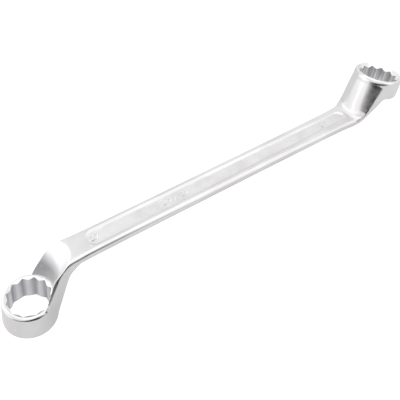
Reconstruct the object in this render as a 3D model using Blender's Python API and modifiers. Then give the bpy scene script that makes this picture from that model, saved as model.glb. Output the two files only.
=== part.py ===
"""Double-ended ring spanner, forged in one piece: a flat shank with a twelve-point ring at each end.

Lengths are in metres and angles in degrees. X runs along the shank from the large ring to the small one,
Y across it and Z out of its numbered face. The origin is on the floor of that face's panel, midway
between the rings. "large" names the end of the 27 mm ring, below the shank, and "small" the 24 mm ring,
above it.
"""

import math

import bmesh
import bpy
import numpy as np
from mathutils import Matrix
from mathutils.geometry import delaunay_2d_cdt

# Places of the two rings: the middle of each ring's upper face, and how far its axis leans towards +X
centre_distance = 0.3006
large_drop = 0.0251
small_rise = 0.0262
large_lean = 11.3
small_lean = 15.8

# Rings
large_across_flats = 0.0272
small_across_flats = 0.0242
large_ring_radius = 0.0186
large_ring_flare = 0.0006
large_ring_height = 0.0196
small_ring_radius = 0.0175
small_ring_height = 0.0153
rim_round = 0.0013
lead_in_width = 0.0005
lead_in_slope = 30.0
clearing_margin = 0.0010
clearing_height = 0.0340
clearing_flare = 4.0

# Shank
large_shank_width = 0.0201
small_shank_width = 0.0212
shank_thickness = 0.0066

# Neck lines, seen from the side: where each would meet the shank's face, its slope and its bend's radius
large_upper_reach, large_upper_slope, large_upper_bend = 0.0239, 54.6, 0.0221
large_lower_reach, large_lower_slope, large_lower_bend = 0.0337, 65.0, 0.0134
small_upper_reach, small_upper_slope, small_upper_bend = 0.0281, 69.2, 0.0133
small_lower_reach, small_lower_slope, small_lower_bend = 0.0265, 44.9, 0.0160
large_upper_length = 0.0380
small_lower_length = 0.0320
nose_end_depth = 0.0018

# Neck sides, seen from above: the angle to the shank's line, and the smoothness where they meet the shank
large_side_taper = 22.6
small_side_taper = 21.3
side_blend = 0.0030
side_inset = 0.00045

# Roundings of the long edges, as (across, down), and the drop over which the neck's edges turn crisp
crisp_round = (0.0013, 0.0013)
shank_round = (0.0024, 0.0031)
crisp_drop = 0.0080

# Nose of each neck, which carries the ring's wall on to the shank: its radius as shares of the ring's
nose_height_shares = (0.0, 0.06, 0.5, 1.0)
nose_radius_shares = (0.0, 0.33, 0.75, 1.0)

# Recessed panel on each face of the shank, and the raised numbers in it
large_panel_half_width = 0.0064
small_panel_half_width = 0.0048
panel_depth = 0.0007
panel_wall_slope = 0.0004
large_panel_start = 0.0475
small_panel_start = 0.0330
digit_height = 0.0072
digit_relief = 0.0004
digit_root = 0.0003
large_number_start = 0.0500
small_number_start = 0.0560
legend_start = 0.1050

# Fineness of the curved faces
ring_facets = 72
rim_steps = 3
corner_steps = 5
bend_steps = 9
straight_steps = 4
shank_steps = 8
panel_end_facets = 24
overrun = 0.0010
deepest_round_share = 0.62
least_section_cosine = 0.5
rim_edge_angle = 60
sharp_edge_angle = 32
outline_tolerance_share = 0.0001
holes_left_out = 4

large_centre = np.array([-centre_distance / 2, -large_drop])
small_centre = np.array([centre_distance / 2, small_rise])


def direction(slope):
    """Unit vector in the side view that climbs at this slope."""
    angle = math.radians(slope)
    return np.array([math.cos(angle), math.sin(angle)])


def bend(before, corner, after, radius):
    """Arc that rounds a corner of a side-view path, from one tangent point to the other."""
    inward = (before - corner) / np.linalg.norm(before - corner)
    outward = (after - corner) / np.linalg.norm(after - corner)
    half_angle = math.acos(float(inward @ outward)) / 2
    middle = (inward + outward) / np.linalg.norm(inward + outward)
    centre = corner + middle * radius / math.sin(half_angle)
    first = corner + inward * radius / math.tan(half_angle) - centre
    last = corner + outward * radius / math.tan(half_angle) - centre
    start = math.atan2(first[1], first[0])
    turn = math.atan2(first[0] * last[1] - first[1] * last[0], float(first @ last))
    angles = start + turn * np.linspace(0, 1, bend_steps)
    return centre + radius * np.stack([np.cos(angles), np.sin(angles)], axis=1)


def side_path(start, large_corner, small_corner, end, large_radius, small_radius):
    """Side-view line of one face of the forging, from inside the large ring to inside the small one."""
    first = bend(start, large_corner, small_corner, large_radius)
    second = bend(large_corner, small_corner, end, small_radius)
    lead = np.linspace(start, first[0], straight_steps, endpoint=False)
    middle = np.linspace(first[-1], second[0], shank_steps + 2)[1:-1]
    tail = np.linspace(second[-1], end, straight_steps + 1)[1:]
    return np.concatenate([lead, first, middle, second, tail])


def length_to_height(corner, slope, centre, lean, height):
    """Length from a corner along this slope to a height over a ring's upper face."""
    axis = np.array([math.sin(math.radians(lean)), math.cos(math.radians(lean))])
    return (height - float((corner - centre) @ axis)) / float(direction(slope) @ axis)


def upper_path():
    large_corner = np.array([large_centre[0] + large_upper_reach, 0])
    small_corner = np.array([small_centre[0] - small_upper_reach, 0])
    length = length_to_height(small_corner, small_upper_slope, small_centre, small_lean, -nose_end_depth)
    start = large_corner - large_upper_length * direction(large_upper_slope)
    end = small_corner + length * direction(small_upper_slope)
    return side_path(start, large_corner, small_corner, end, large_upper_bend, small_upper_bend)


def lower_path():
    large_corner = np.array([large_centre[0] + large_lower_reach, -shank_thickness])
    small_corner = np.array([small_centre[0] - small_lower_reach, -shank_thickness])
    height = nose_end_depth - large_ring_height
    length = length_to_height(large_corner, large_lower_slope, large_centre, large_lean, height)
    start = large_corner + length * direction(large_lower_slope)
    end = small_corner + small_lower_length * direction(small_lower_slope)
    return side_path(start, large_corner, small_corner, end, large_lower_bend, small_lower_bend)


def smooth_maximum(first, second, blend):
    return (first + second + math.hypot(first - second, blend)) / 2


def side_distance(point, centre, lean):
    """How far a side-view point lies from a ring's axis."""
    across = np.array([math.cos(math.radians(lean)), -math.sin(math.radians(lean))])
    return float((point - centre) @ across)


def half_width(point):
    """Half the forging's width at a side-view point: the neck's sides leave each ring at a tangent."""
    share = np.clip((point[0] - large_centre[0]) / centre_distance, 0, 1)
    width = ((1 - share) * large_shank_width + share * small_shank_width) / 2
    ends = (
        (side_distance(point, large_centre, large_lean), large_ring_radius, large_side_taper),
        (-side_distance(point, small_centre, small_lean), small_ring_radius, small_side_taper),
    )
    for distance, radius, taper in ends:
        inner = radius - side_inset
        angle = math.radians(taper)
        if distance < inner * math.sin(angle):
            return math.sqrt(inner**2 - distance**2)
        side = inner / math.cos(angle) - distance * math.tan(angle)
        width = smooth_maximum(side, width, side_blend)
    return width


def nose_round(height_share, ring_radius, taper, slant):
    """Rounding, as (across, down), of a nose in a section that leans from its normal by this cosine."""
    radius = ring_radius * np.interp(height_share, nose_height_shares, nose_radius_shares)
    tangent = radius * math.tan(math.radians(90 - taper) / 2)
    down = tangent * math.cos(math.radians(taper)) / slant
    return max(shank_round[0], tangent), max(shank_round[1], down)


def edge_round(drop):
    """Rounding of a neck's edges on the ring's entry side: they turn crisp as the neck leaves the shank."""
    share = np.clip(drop / crisp_drop, 0, 1)
    return tuple((1 - share) * soft + share * crisp for soft, crisp in zip(shank_round, crisp_round))


def cosine_to_normal(across_section, along_path):
    """Cosine of the angle between a section's direction and the normal of a path it starts from."""
    normal = np.array([-along_path[1], along_path[0]]) / np.linalg.norm(along_path)
    return max(least_section_cosine, float(across_section @ normal))


def outline_half(high_width, low_width, span, high_round, low_round):
    """One side of a section, as (across, height) points from its lower face to its upper one."""
    quarter = np.linspace(0, math.pi / 2, corner_steps)
    bottom = [(low_round[0], low_round[1] * (1 - math.sin(turn)), turn) for turn in quarter[::-1]]
    top = [(high_round[0], span - high_round[1] * (1 - math.sin(turn)), turn) for turn in quarter]
    points = []
    for across, height, turn in bottom + top:
        side = low_width + (high_width - low_width) * height / span
        points.append((side - across * (1 - math.cos(turn)), height))
    return points


def section(high, low, high_round, low_round):
    """Rounded outline of the forging between a point of its upper path and one of its lower path."""
    span = np.linalg.norm(high - low)
    up = (high - low) / span
    high_width = half_width(high)
    low_width = half_width(low)
    high_round = (min(high_round[0], high_width), min(high_round[1], span * deepest_round_share))
    low_round = (min(low_round[0], low_width), min(low_round[1], span * deepest_round_share))
    excess = max(0, high_round[1] + low_round[1] - span)
    if high_round[1] > low_round[1]:
        high_round = (high_round[0], high_round[1] - excess)
    else:
        low_round = (low_round[0], low_round[1] - excess)
    right_side = outline_half(high_width, low_width, span, high_round, low_round)
    outline = right_side + [(-across, height) for across, height in right_side[::-1]]
    return [(low[0] + up[0] * h, across, low[1] + up[1] * h) for across, h in outline]


def add_object(name, form, collection, place=None):
    """Turns finished mesh data into an object, with its faces pointing out and its points moved to place."""
    mesh = bpy.data.meshes.new(name)
    bmesh.ops.recalc_face_normals(form, faces=form.faces)
    if form.calc_volume(signed=True) < 0:
        bmesh.ops.reverse_faces(form, faces=form.faces)
    form.to_mesh(mesh)
    form.free()
    solid = bpy.data.objects.new(name, mesh)
    if place is not None:
        mesh.transform(place)
    collection.objects.link(solid)
    return solid


def sections():
    """All outlines of the forging, from inside the large ring to inside the small one."""
    upper = upper_path()
    lower = lower_path()
    rim_height = small_centre[1] + small_ring_radius * math.sin(math.radians(small_lean))
    rim_drop = -lower[0][1] - shank_thickness
    outlines = []
    upper_ways = np.gradient(upper, axis=0)
    lower_ways = np.gradient(lower, axis=0)
    for high, low, high_way, low_way in zip(upper, lower, upper_ways, lower_ways):
        up = (high - low) / np.linalg.norm(high - low)
        if high[0] > 0:
            share = np.clip(high[1] / rim_height, 0, 1)
            slant = cosine_to_normal(up, high_way)
            high_round = nose_round(share, small_ring_radius, small_side_taper, slant)
            low_round = edge_round(low[1] + shank_thickness)
        else:
            share = np.clip(-(low[1] + shank_thickness) / rim_drop, 0, 1)
            high_round = edge_round(-high[1])
            slant = cosine_to_normal(up, low_way)
            low_round = nose_round(share, large_ring_radius, large_side_taper, slant)
        outlines.append(section(high, low, high_round, low_round))
    return outlines


def forging(collection):
    """The shank and both necks as one loft, with each end inside the ring it meets."""
    form = bmesh.new()
    rows = [[form.verts.new(point) for point in outline] for outline in sections()]
    for near, far in zip(rows, rows[1:]):
        for i in range(len(near)):
            form.faces.new((near[i - 1], near[i], far[i], far[i - 1]))
    form.faces.new(rows[0])
    form.faces.new(rows[-1][::-1])
    return add_object("spanner_body", form, collection)


def ring_place(centre, lean):
    """Puts a shape made around the Z axis, with the ring's upper face at zero, onto a ring."""
    return Matrix.Translation((centre[0], 0, centre[1])) @ Matrix.Rotation(math.radians(lean), 4, "Y")


def turned(name, low, high, low_radius, high_radius, place, collection, facets=ring_facets, turn=0.0):
    """Cylinder or cone around a ring's axis, between two heights over the ring's upper face."""
    form = bmesh.new()
    matrix = Matrix.Translation((0, 0, (low + high) / 2)) @ Matrix.Rotation(math.radians(turn), 4, "Z")
    bmesh.ops.create_cone(
        form,
        cap_ends=True,
        segments=facets,
        radius1=low_radius,
        radius2=high_radius,
        depth=high - low,
        matrix=matrix,
    )
    return add_object(name, form, collection, place)


def boolean(body, tool, operation):
    tool.hide_render = True
    tool.display_type = "WIRE"
    modifier = body.modifiers.new(tool.name, "BOOLEAN")
    modifier.operation = operation
    modifier.solver = "EXACT"
    modifier.object = tool


def join_ring(body, end, height, radius, flare, place, tools):
    blank = turned(end + "_ring_blank", -height, 0, radius + flare, radius, place, tools)
    bevel = blank.modifiers.new("rim", "BEVEL")
    bevel.limit_method = "ANGLE"
    bevel.angle_limit = math.radians(rim_edge_angle)
    bevel.width = rim_round
    bevel.segments = rim_steps
    boolean(body, blank, "UNION")


def mouth_radius(across_flats):
    """Radius of an opening where its lead-in meets the ring's face."""
    return across_flats / math.sqrt(3) + lead_in_width


def cut_opening(body, end, height, across_flats, place, tools):
    """Twelve points as two six-sided openings a twelfth of a turn apart, with a lead-in cone at each face.

    The cones are turned by half a facet, so that no edge of theirs meets a corner of the opening.
    """
    corner = across_flats / math.sqrt(3)
    ridge = across_flats / 2 / math.cos(math.radians(15))
    mouth = mouth_radius(across_flats)
    for turn in (0, 30):
        name = f"{end}_opening_{turn}"
        hexagon = turned(name, -height - overrun, overrun, corner, corner, place, tools, 6, turn)
        boolean(body, hexagon, "DIFFERENCE")
    slope = math.tan(math.radians(lead_in_slope))
    depth = (mouth - ridge) * slope + overrun / 4
    inner = mouth - depth / slope
    outer = mouth + overrun / slope
    cones = (
        ("upper", -depth, overrun, inner, outer),
        ("lower", -height - overrun, depth - height, outer, inner),
    )
    for side, low, high, low_radius, high_radius in cones:
        name = f"{end}_{side}_lead_in"
        cone = turned(name, low, high, low_radius, high_radius, place, tools, turn=180 / ring_facets)
        boolean(body, cone, "DIFFERENCE")


def cut_clearing(body, end, height, across_flats, place, tools):
    """Clears the neck away from the face that the ring is entered from, with walls that open slightly."""
    radius = mouth_radius(across_flats) + clearing_margin
    wide = radius + clearing_height * math.tan(math.radians(clearing_flare))
    if end == "large":
        tool = turned("large_clearing", -overrun, clearing_height, radius, wide, place, tools)
    else:
        low = -height - clearing_height
        tool = turned("small_clearing", low, overrun - height, wide, radius, place, tools)
    boolean(body, tool, "DIFFERENCE")


def cut_panel(body, name, face, outward, tools):
    """Long recess with round ends that narrows towards the small ring, with slightly sloping walls."""
    form = bmesh.new()
    half_step = Matrix.Rotation(math.pi / panel_end_facets, 4, "Z")
    bmesh.ops.create_cone(
        form, cap_ends=True, segments=panel_end_facets, radius1=1, radius2=1, depth=2, matrix=half_step
    )
    ends = (large_centre[0] + large_panel_start, small_centre[0] - small_panel_start)
    for vertex in form.verts:
        outer = vertex.co.z > 0
        large = vertex.co.x < 0
        radius = large_panel_half_width if large else small_panel_half_width
        widened = radius + (panel_wall_slope * (1 + overrun / panel_depth) if outer else 0)
        middle = ends[0] + large_panel_half_width if large else ends[1] - small_panel_half_width
        height = overrun if outer else -panel_depth
        vertex.co = (middle + vertex.co.x * widened, vertex.co.y * widened, face + outward * height)
    boolean(body, add_object(name, form, tools), "DIFFERENCE")


def number_outline(text, tools):
    """Flat faces of a row of plain figures, their outline filled so that no face is without area."""
    curve = bpy.data.curves.new("number_curve", "FONT")
    curve.body = text
    curve.size = digit_height
    curve.align_y = "CENTER"
    curve.resolution_u = 2
    curve.fill_mode = "NONE"
    helper = bpy.data.objects.new("number_helper", curve)
    tools.objects.link(helper)
    bpy.context.view_layer.update()
    outline = bpy.data.meshes.new_from_object(helper.evaluated_get(bpy.context.evaluated_depsgraph_get()))
    bpy.data.objects.remove(helper)
    points = [vertex.co.to_2d() / digit_height for vertex in outline.vertices]
    edges = [tuple(edge.vertices) for edge in outline.edges]
    filled = delaunay_2d_cdt(points, edges, [], holes_left_out, outline_tolerance_share)
    form = bmesh.new()
    corners = [form.verts.new((point.x * digit_height, point.y * digit_height, 0)) for point in filled[0]]
    for face in filled[2]:
        form.faces.new([corners[i] for i in face])
    return form


def raise_number(body, text, start, tools):
    """Plain raised figures on the panel's floor, read from the large ring's end."""
    form = number_outline(text, tools)
    lid = bmesh.ops.extrude_face_region(form, geom=list(form.faces), use_keep_orig=True)
    raised = [part for part in lid["geom"] if isinstance(part, bmesh.types.BMVert)]
    bmesh.ops.translate(form, verts=raised, vec=(0, 0, digit_root + digit_relief))
    place = Matrix.Translation((large_centre[0] + start, 0, -panel_depth - digit_root))
    boolean(body, add_object("number_" + text.replace(" ", "_"), form, tools, place), "UNION")


def satin_chrome():
    material = bpy.data.materials.new("satin_chrome")
    material.use_nodes = True
    surface = material.node_tree.nodes["Principled BSDF"]
    surface.inputs["Base Color"].default_value = (0.78, 0.78, 0.79, 1)
    surface.inputs["Metallic"].default_value = 1.0
    surface.inputs["Roughness"].default_value = 0.24
    return material


def finish(body, collection):
    """Turns the stack of joins and cuts into one mesh with smooth curved faces."""
    graph = bpy.context.evaluated_depsgraph_get()
    mesh = bpy.data.meshes.new_from_object(body.evaluated_get(graph))
    bpy.data.objects.remove(body)
    mesh.transform(Matrix.Translation((0, 0, panel_depth)))
    mesh.name = "spanner_body"
    mesh.materials.clear()
    mesh.materials.append(satin_chrome())
    mesh.shade_smooth()
    mesh.set_sharp_from_angle(angle=math.radians(sharp_edge_angle))
    collection.objects.link(bpy.data.objects.new("spanner_body", mesh))


def main():
    for old in list(bpy.data.objects):
        bpy.data.objects.remove(old)
    part = bpy.data.collections.new("ring_spanner")
    tools = bpy.data.collections.new("cutters")
    for collection in (part, tools):
        bpy.context.scene.collection.children.link(collection)
    body = forging(part)
    large_place = ring_place(large_centre, large_lean)
    small_place = ring_place(small_centre, small_lean)
    rings = (
        ("large", large_ring_height, large_ring_radius, large_ring_flare, large_across_flats, large_place),
        ("small", small_ring_height, small_ring_radius, 0, small_across_flats, small_place),
    )
    cut_panel(body, "upper_panel", 0, 1, tools)
    cut_panel(body, "lower_panel", -shank_thickness, -1, tools)
    raise_number(body, "27", large_number_start, tools)
    raise_number(body, "24", centre_distance - small_number_start, tools)
    raise_number(body, "24 x 27", legend_start, tools)
    for end, height, radius, flare, across_flats, place in rings:
        cut_clearing(body, end, height, across_flats, place, tools)
        join_ring(body, end, height, radius, flare, place, tools)
        cut_opening(body, end, height, across_flats, place, tools)
    bpy.context.view_layer.update()
    finish(body, part)
    for tool in list(tools.objects):
        bpy.data.objects.remove(tool)


main()
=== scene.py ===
"""Double-ended ring spanner in satin chrome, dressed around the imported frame.

Lengths are in metres and angles in degrees. X runs along the shank from the 27 mm ring to the 24 mm one,
Y across it and Z out of its numbered face.
"""

import math
from contextlib import contextmanager
from typing import NamedTuple

import bmesh
import bpy
import numpy as np
from mathutils import Matrix, Vector
from mathutils.kdtree import KDTree


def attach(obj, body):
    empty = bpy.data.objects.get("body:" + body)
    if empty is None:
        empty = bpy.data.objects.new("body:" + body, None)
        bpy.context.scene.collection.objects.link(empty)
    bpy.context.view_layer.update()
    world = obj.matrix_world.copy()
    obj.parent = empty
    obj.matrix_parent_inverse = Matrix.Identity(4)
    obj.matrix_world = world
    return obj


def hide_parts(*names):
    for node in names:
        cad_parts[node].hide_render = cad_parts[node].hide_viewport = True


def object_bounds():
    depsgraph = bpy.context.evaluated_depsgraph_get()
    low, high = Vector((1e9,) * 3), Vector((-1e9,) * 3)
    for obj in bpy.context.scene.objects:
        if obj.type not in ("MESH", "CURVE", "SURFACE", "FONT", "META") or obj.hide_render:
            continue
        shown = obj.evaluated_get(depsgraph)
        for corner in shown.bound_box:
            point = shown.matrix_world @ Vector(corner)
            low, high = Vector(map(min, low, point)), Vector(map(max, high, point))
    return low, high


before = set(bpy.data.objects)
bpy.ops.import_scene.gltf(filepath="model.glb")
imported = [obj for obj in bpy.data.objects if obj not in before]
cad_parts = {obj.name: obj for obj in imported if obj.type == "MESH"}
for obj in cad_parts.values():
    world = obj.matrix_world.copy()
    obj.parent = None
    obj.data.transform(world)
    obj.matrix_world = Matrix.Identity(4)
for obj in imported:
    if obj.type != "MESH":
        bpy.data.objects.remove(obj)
cad_low, cad_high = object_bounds()

bl_info = {
    "name": "Ring spanner",
    "version": (1, 0, 0),
    "blender": (4, 5, 0),
    "location": "3D View > Sidebar > Ring spanner",
    "description": "Builds a chrome ring spanner on its packed frame, with its studio",
    "category": "Add Mesh",
}

BODY_NODE = "spanner_body"

# Side view of the forging, with the shank's upper face at zero: the rings' centres, and the lines of the
# two necks as (reach from the ring's centre, slope, radius of the bend)
CENTRE_DISTANCE = 0.3006
LARGE_DROP = 0.0251
SMALL_RISE = 0.0262
LARGE_CENTRE = np.array([-CENTRE_DISTANCE / 2, -LARGE_DROP])
SMALL_CENTRE = np.array([CENTRE_DISTANCE / 2, SMALL_RISE])
LARGE_LEAN = 11.3
SMALL_LEAN = 15.8
SHANK_THICKNESS = 0.0066
LARGE_UPPER_LINE = (0.0239, 54.6, 0.0130)
LARGE_LOWER_LINE = (0.0337, 65.0, 0.0134)
SMALL_UPPER_LINE = (0.0281, 69.2, 0.0040)
SMALL_LOWER_LINE = (0.0265, 44.9, 0.0160)
LARGE_UPPER_LENGTH = 0.0380
SMALL_LOWER_LENGTH = 0.0320
NOSE_END_DEPTH = 0.0018

# Widths of the shank at its two ends, and the sides of the necks
LARGE_SHANK_WIDTH = 0.0201
SMALL_SHANK_WIDTH = 0.0212
LARGE_TAPER = 22.6
SMALL_TAPER = 21.3
SIDE_BLEND = 0.0030
SIDE_INSET = 0.00015

# Roundings of the long edges, as (across, down), and how each nose turns from flat to the ring's curve
CRISP_ROUND = (0.0030, 0.0034)
SHANK_ROUND = (0.0024, 0.0031)
CRISP_DROP = 0.0080
CREASE_ROUND = (0.0008, 0.0008)
CREASE_HEIGHT_SHARE = 0.06
CROWN_HEIGHT_SHARES = (0.0, 0.05, 0.10, 0.20, 0.33, 0.5, 1.0)
CROWN_CURVE_SHARES = (0.0, 0.25, 0.48, 0.68, 0.78, 0.83, 1.0)
DEEPEST_ROUND_SHARE = 0.48
LEAST_ROUND_SHARE = 0.05
LEAST_SECTION_COSINE = 0.5

# Bell mouth that clears each ring: a wall that opens, a crest, and a shoulder that rolls into the shank
BELL_MARGIN = 0.0010
BELL_OPENING = 2.5
BELL_CREST_SHARE = 0.62
BELL_CREST_REACH = 0.0050
SHOULDER_SLOPE = 50.5
SHOULDER_REACH = 0.0012
LARGE_FACE_REACH = 0.0280
SMALL_FACE_REACH = 0.0240

# Twelve-point openings: corners and ridges take turns, one step apart
STAR_STEP = 15
STAR_TURNS = 24
LARGE_LEAD_IN_SLOPE = 30.0
SMALL_LEAD_IN_SLOPE = 45.0

# Recessed panels and their plain raised numbers, as distances from the ring's centre at the same end
PANEL_DEPTH = 0.0007
LARGE_PANEL_RADIUS = 0.0064
SMALL_PANEL_RADIUS = 0.0048
LARGE_PANEL_START = 0.0475
SMALL_PANEL_START = 0.0330
DIGIT_ROOT = 0.0003
LARGE_NUMBER_START = 0.0500
SMALL_NUMBER_START = 0.0560
LEGEND_START = 0.1050

# Fineness
BEND_STEPS = 40
CORNER_STEPS = 12
CROWN_STEPS = 26
STAR_CORNER_STEPS = 4
STRAIGHT_STEPS = 14
SHANK_STEPS = 24
RING_FACETS = 192
ARC_STEPS = 8
PANEL_FACETS = 48
FIGURE_CURVE_STEPS = 4
FIGURE_FLAT_ANGLE = 1
SMOOTH_ANGLE = 30
PLAIN_HALF_LENGTH = 0.100
PLAIN_SQUEEZE_SHARE = 0.12
EVEN_PASSES = 2
SMOOTHING_FACTOR = 0.5
CREASE_ANGLE = 22
CREASE_STEP = 0.0004
MERGE_DISTANCE = 1e-7
SEAM_WELD = 5e-6
OVERRUN = 0.0010

# Marks in the plating: noise patterns as (scale, detail, roughness), the finer scales across and along
# of the broach's streaks, and the ranges of the noise that turn into a mask
GRAIN_NOISE = (3200, 3, 0.5)
WAVE_NOISE = (130, 1, 0.5)
SMUDGE_NOISE = (75, 4, 0.6)
CLOUD_NOISE = (28, 2, 0.5)
STREAK_NOISE = (1, 3, 0.6)
STREAK_SCALES = (1700, 1700, 14)
SMUDGE_RANGE = (0.38, 0.66)
CLOUD_RANGE = (0.40, 0.62)
STREAK_RANGE = (0.42, 0.58)
WORN_EDGE_RANGE = (0.505, 0.54)
WORN_EDGE_GLOSS = 0.05

# Polish of each finish, as (strength of the grain, height of the bump), and the roughness of its
# smoothest and roughest places, where steps count from the plating's own roughness
PLATING_POLISH = (0.02, 0.00002)
PANEL_POLISH = (0.25, 0.00003)
OPENING_POLISH = (0.1, 0.00002)
PLATING_ROUGHNESS_STEPS = (-0.03, 0.04)
PANEL_ROUGHNESS_STEPS = (0.04, 0.14)
OPENING_ROUGHNESS = (0.34, 0.46)

# Strength of the streaks in each opening, and the clearing above the large ring, where the plating is
# dulled and darkened by a painted shade
LARGE_STREAKINESS = 0.10
SMALL_STREAKINESS = 1.0
CLEARED_RADIUS = 0.0188
CLEARED_FADE = 0.0034
CLEARED_DULLING = 0.22

# Numbers of the materials, and the limits of place and slope by which a face takes its own
PLATING, CLEARING, PANEL_FLOOR, LARGE_OPENING, SMALL_OPENING = range(5)
FLOOR_TOLERANCE = 0.00012
UPRIGHT_WALL = 0.3
INWARD_WALL = -0.1

# Sockets of a Mix node, where several have the same name
MIX_FACTOR = 0
MIX_VALUES = (2, 3)
MIX_COLOURS = (6, 7)
MIX_COLOUR_RESULT = 2

# Brightness of the surroundings, from the horizon upwards, and of the floor
HORIZON_HEIGHTS = (-0.05, 0.50)
HORIZON_SHADES = (0.92, 1.0)
MATT_SHADE = 0.75
FLOOR_GLOW_SEEN = 0.75
FLOOR_GLOW_REFLECTED = 0.13
FLOOR_MOTTLING_SHARE = 0.98
FLOOR_TONE_NOISE = (6, 2, 0.5)
FLOOR_PULP_NOISE = (1500, 3, 0.5)
FLOOR_PULP_HEIGHT = 0.00005

# Softboxes as (name, place, turned towards, width, height, brightness that a mirror shows)
SOFTBOXES = (
    ("overhead_softbox", (0.05, 0.0, 0.9), (0, 0, 0), 1.1, 1.1, 0.35),
    ("left_softbox", (-0.256, 0.248, 0.26), (0, -0.09, 0.26), 0.35, 0.62, 0.40),
    ("low_left_softbox", (-0.50, 0.10, 0.115), (0, 0.10, 0.115), 0.38, 0.32, 0.36),
    ("right_softbox", (0.45, -0.65, 0.40), (0, 0, 0), 0.6, 0.6, 0.30),
)

# Black flags: the far one's shades as (direction, blackness), the near one's columns as
# (x, y, blackness), and the rows of both as (share of the way to the target, height, blackness)
DARK_CARD_DISTANCE = 2.0
DARK_CARD_SHADES = ((184, 0.0), (199, 0.6), (214, 1.0), (270, 1.0), (286, 0.0))
# The rows at the floor's height lay the cloth flat on the floor, as painted shade that only the metal
# reflects
DARK_CARD_ROWS = (
    (0.88, -0.046, 0.0),
    (0.80, -0.046, 1.0),
    (0.0, -0.046, 1.0),
    (0.0, 0.28, 1.0),
    (0.0, 0.60, 0.0),
)
EDGE_FLAG_COLUMNS = (
    (-0.340, -0.271, 0.0),
    (-0.280, -0.237, 1.0),
    (-0.163, -0.173, 1.0),
    (-0.111, -0.144, 1.0),
    (-0.041, -0.105, 0.0),
)
EDGE_FLAG_ROWS = (
    (0.60, -0.046, 0.0),
    (0.50, -0.046, 1.0),
    (0.0, -0.046, 1.0),
    (0.0, 0.080, 1.0),
    (0.0, 0.130, 0.0),
)
CLOTH_SHADES = ((0.010, 0.010, 0.010), (0.025, 0.025, 0.025))
WEAVE_SCALE = 900

# Camera: the point that it circles, its shift from there in its own axes, and the shift of its lens
CAMERA_TARGET = (-0.050345, 0, 0.0007)
CAMERA_DISTANCE = 0.36673
CAMERA_SIDE = -0.00526
CAMERA_UP = 0.07254
CAMERA_LENS_SHIFT = (0.1299, -0.2457)
CAMERA_NEAREST = 0.01
SENSOR_WIDTH = 36


def length_property(name, description, default, **more):
    return bpy.props.FloatProperty(
        name=name, description=description, default=default, unit="LENGTH", **more
    )


def length_pair_property(name, description, default):
    return bpy.props.FloatVectorProperty(
        name=name, description=description, default=default, size=2, unit="LENGTH"
    )


def angle_property(name, description, degrees):
    return bpy.props.FloatProperty(
        name=name, description=description, default=math.radians(degrees), subtype="ANGLE"
    )


def colour_property(name, description, default):
    return bpy.props.FloatVectorProperty(
        name=name, description=description, default=default, min=0, max=1, size=3, subtype="COLOR"
    )


class ForgingSizes(bpy.types.PropertyGroup):
    """Sizes of the rings, the panels, the figures and the soft edges."""

    large_across_flats: length_property(
        "Large across flats", "Width across the flats of the large opening", 0.0272
    )
    small_across_flats: length_property(
        "Small across flats", "Width across the flats of the small opening", 0.0242
    )
    large_ring_radius: length_property("Large ring radius", "Outer radius of the large ring", 0.0186)
    small_ring_radius: length_property("Small ring radius", "Outer radius of the small ring", 0.0175)
    large_ring_flare: length_property(
        "Large ring flare", "How much wider the large ring is at its lower face", 0.0006
    )
    large_ring_height: length_property(
        "Large ring height", "Height of the large ring along its axis", 0.0196
    )
    small_ring_height: length_property(
        "Small ring height", "Height of the small ring along its axis", 0.0153
    )
    large_face_round: length_pair_property(
        "Large face rounding",
        "How far across and down the large ring's upper face rolls into its wall",
        (0.0023, 0.0023),
    )
    small_face_round: length_pair_property(
        "Small face rounding",
        "How far across and down the small ring's upper face rolls into its wall",
        (0.0018, 0.0034),
    )
    rim_round: length_property(
        "Lower rim rounding", "Radius of the rounding on the rings' lower outer edges", 0.0016
    )
    large_lead_in: length_property(
        "Large lead-in", "Width of the bevel at each mouth of the large opening", 0.0005
    )
    small_lead_in: length_property(
        "Small lead-in", "Width of the bevel at each mouth of the small opening", 0.0016
    )
    corner_round: length_property(
        "Corner rounding", "Radius of the rounded corners and ridges inside the openings", 0.0006
    )
    panel_foot: length_property(
        "Panel foot", "Radius of the hollow between a panel's floor and its sloping edge", 0.0026
    )
    panel_slope: angle_property("Panel slope", "Steepest slope of a panel's edge", 33)
    digit_height: length_property("Figure height", "Height of the raised figures", 0.0072)
    digit_relief: length_property(
        "Figure relief", "How far the figures stand out of the panel", 0.0004
    )
    digit_edge: length_property("Figure edge", "Width of the rounded edge of the figures", 0.0002)
    crease_reach: length_property(
        "Crease softness", "How far from a crease the forging is softened", 0.0022
    )
    crease_passes: bpy.props.IntProperty(
        name="Crease passes", description="How often the creases are smoothed", default=7, min=0
    )
    skin_size: length_property(
        "Skin size", "Size of the quads that the forging's skin is rebuilt from", 0.00043, precision=5
    )


class ChromeFinish(bpy.types.PropertyGroup):
    """Colours and gloss of the plating."""

    plating_colour: colour_property("Plating colour", "Colour of the satin chrome", (0.77, 0.77, 0.78))
    clouded_colour: colour_property(
        "Clouded colour", "Colour of the plating where it is faintly clouded", (0.715, 0.70, 0.70)
    )
    edge_colour: colour_property(
        "Edge colour", "Colour of the plating on edges that handling has brightened", (0.88, 0.88, 0.88)
    )
    # The clearing's colour is painted shade: darker than the plating, for the shade in its hollow
    milled_shade_colour: colour_property(
        "Milled shade colour", "Colour of the clearing that is cut above the large ring", (0.62, 0.62, 0.63)
    )
    # Painted light: the broached walls are lighter than the plating, so that the insides of the openings
    # read brighter
    broached_painted_light_colour: colour_property(
        "Broached painted-light colour", "Colour of the walls inside the openings", (0.93, 0.93, 0.94)
    )
    streak_colour: colour_property("Streak colour", "Colour of the broach's streaks", (0.50, 0.50, 0.51))
    # Painted shade: this colour darkens the corners of the openings
    corner_shade_colour: colour_property(
        "Painted corner shade colour", "Colour in the corners of the openings", (0.55, 0.55, 0.57)
    )
    roughness: bpy.props.FloatProperty(
        name="Roughness",
        description="Roughness of the plating on the shank",
        default=0.22,
        min=0,
        max=1,
        subtype="FACTOR",
    )


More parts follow.
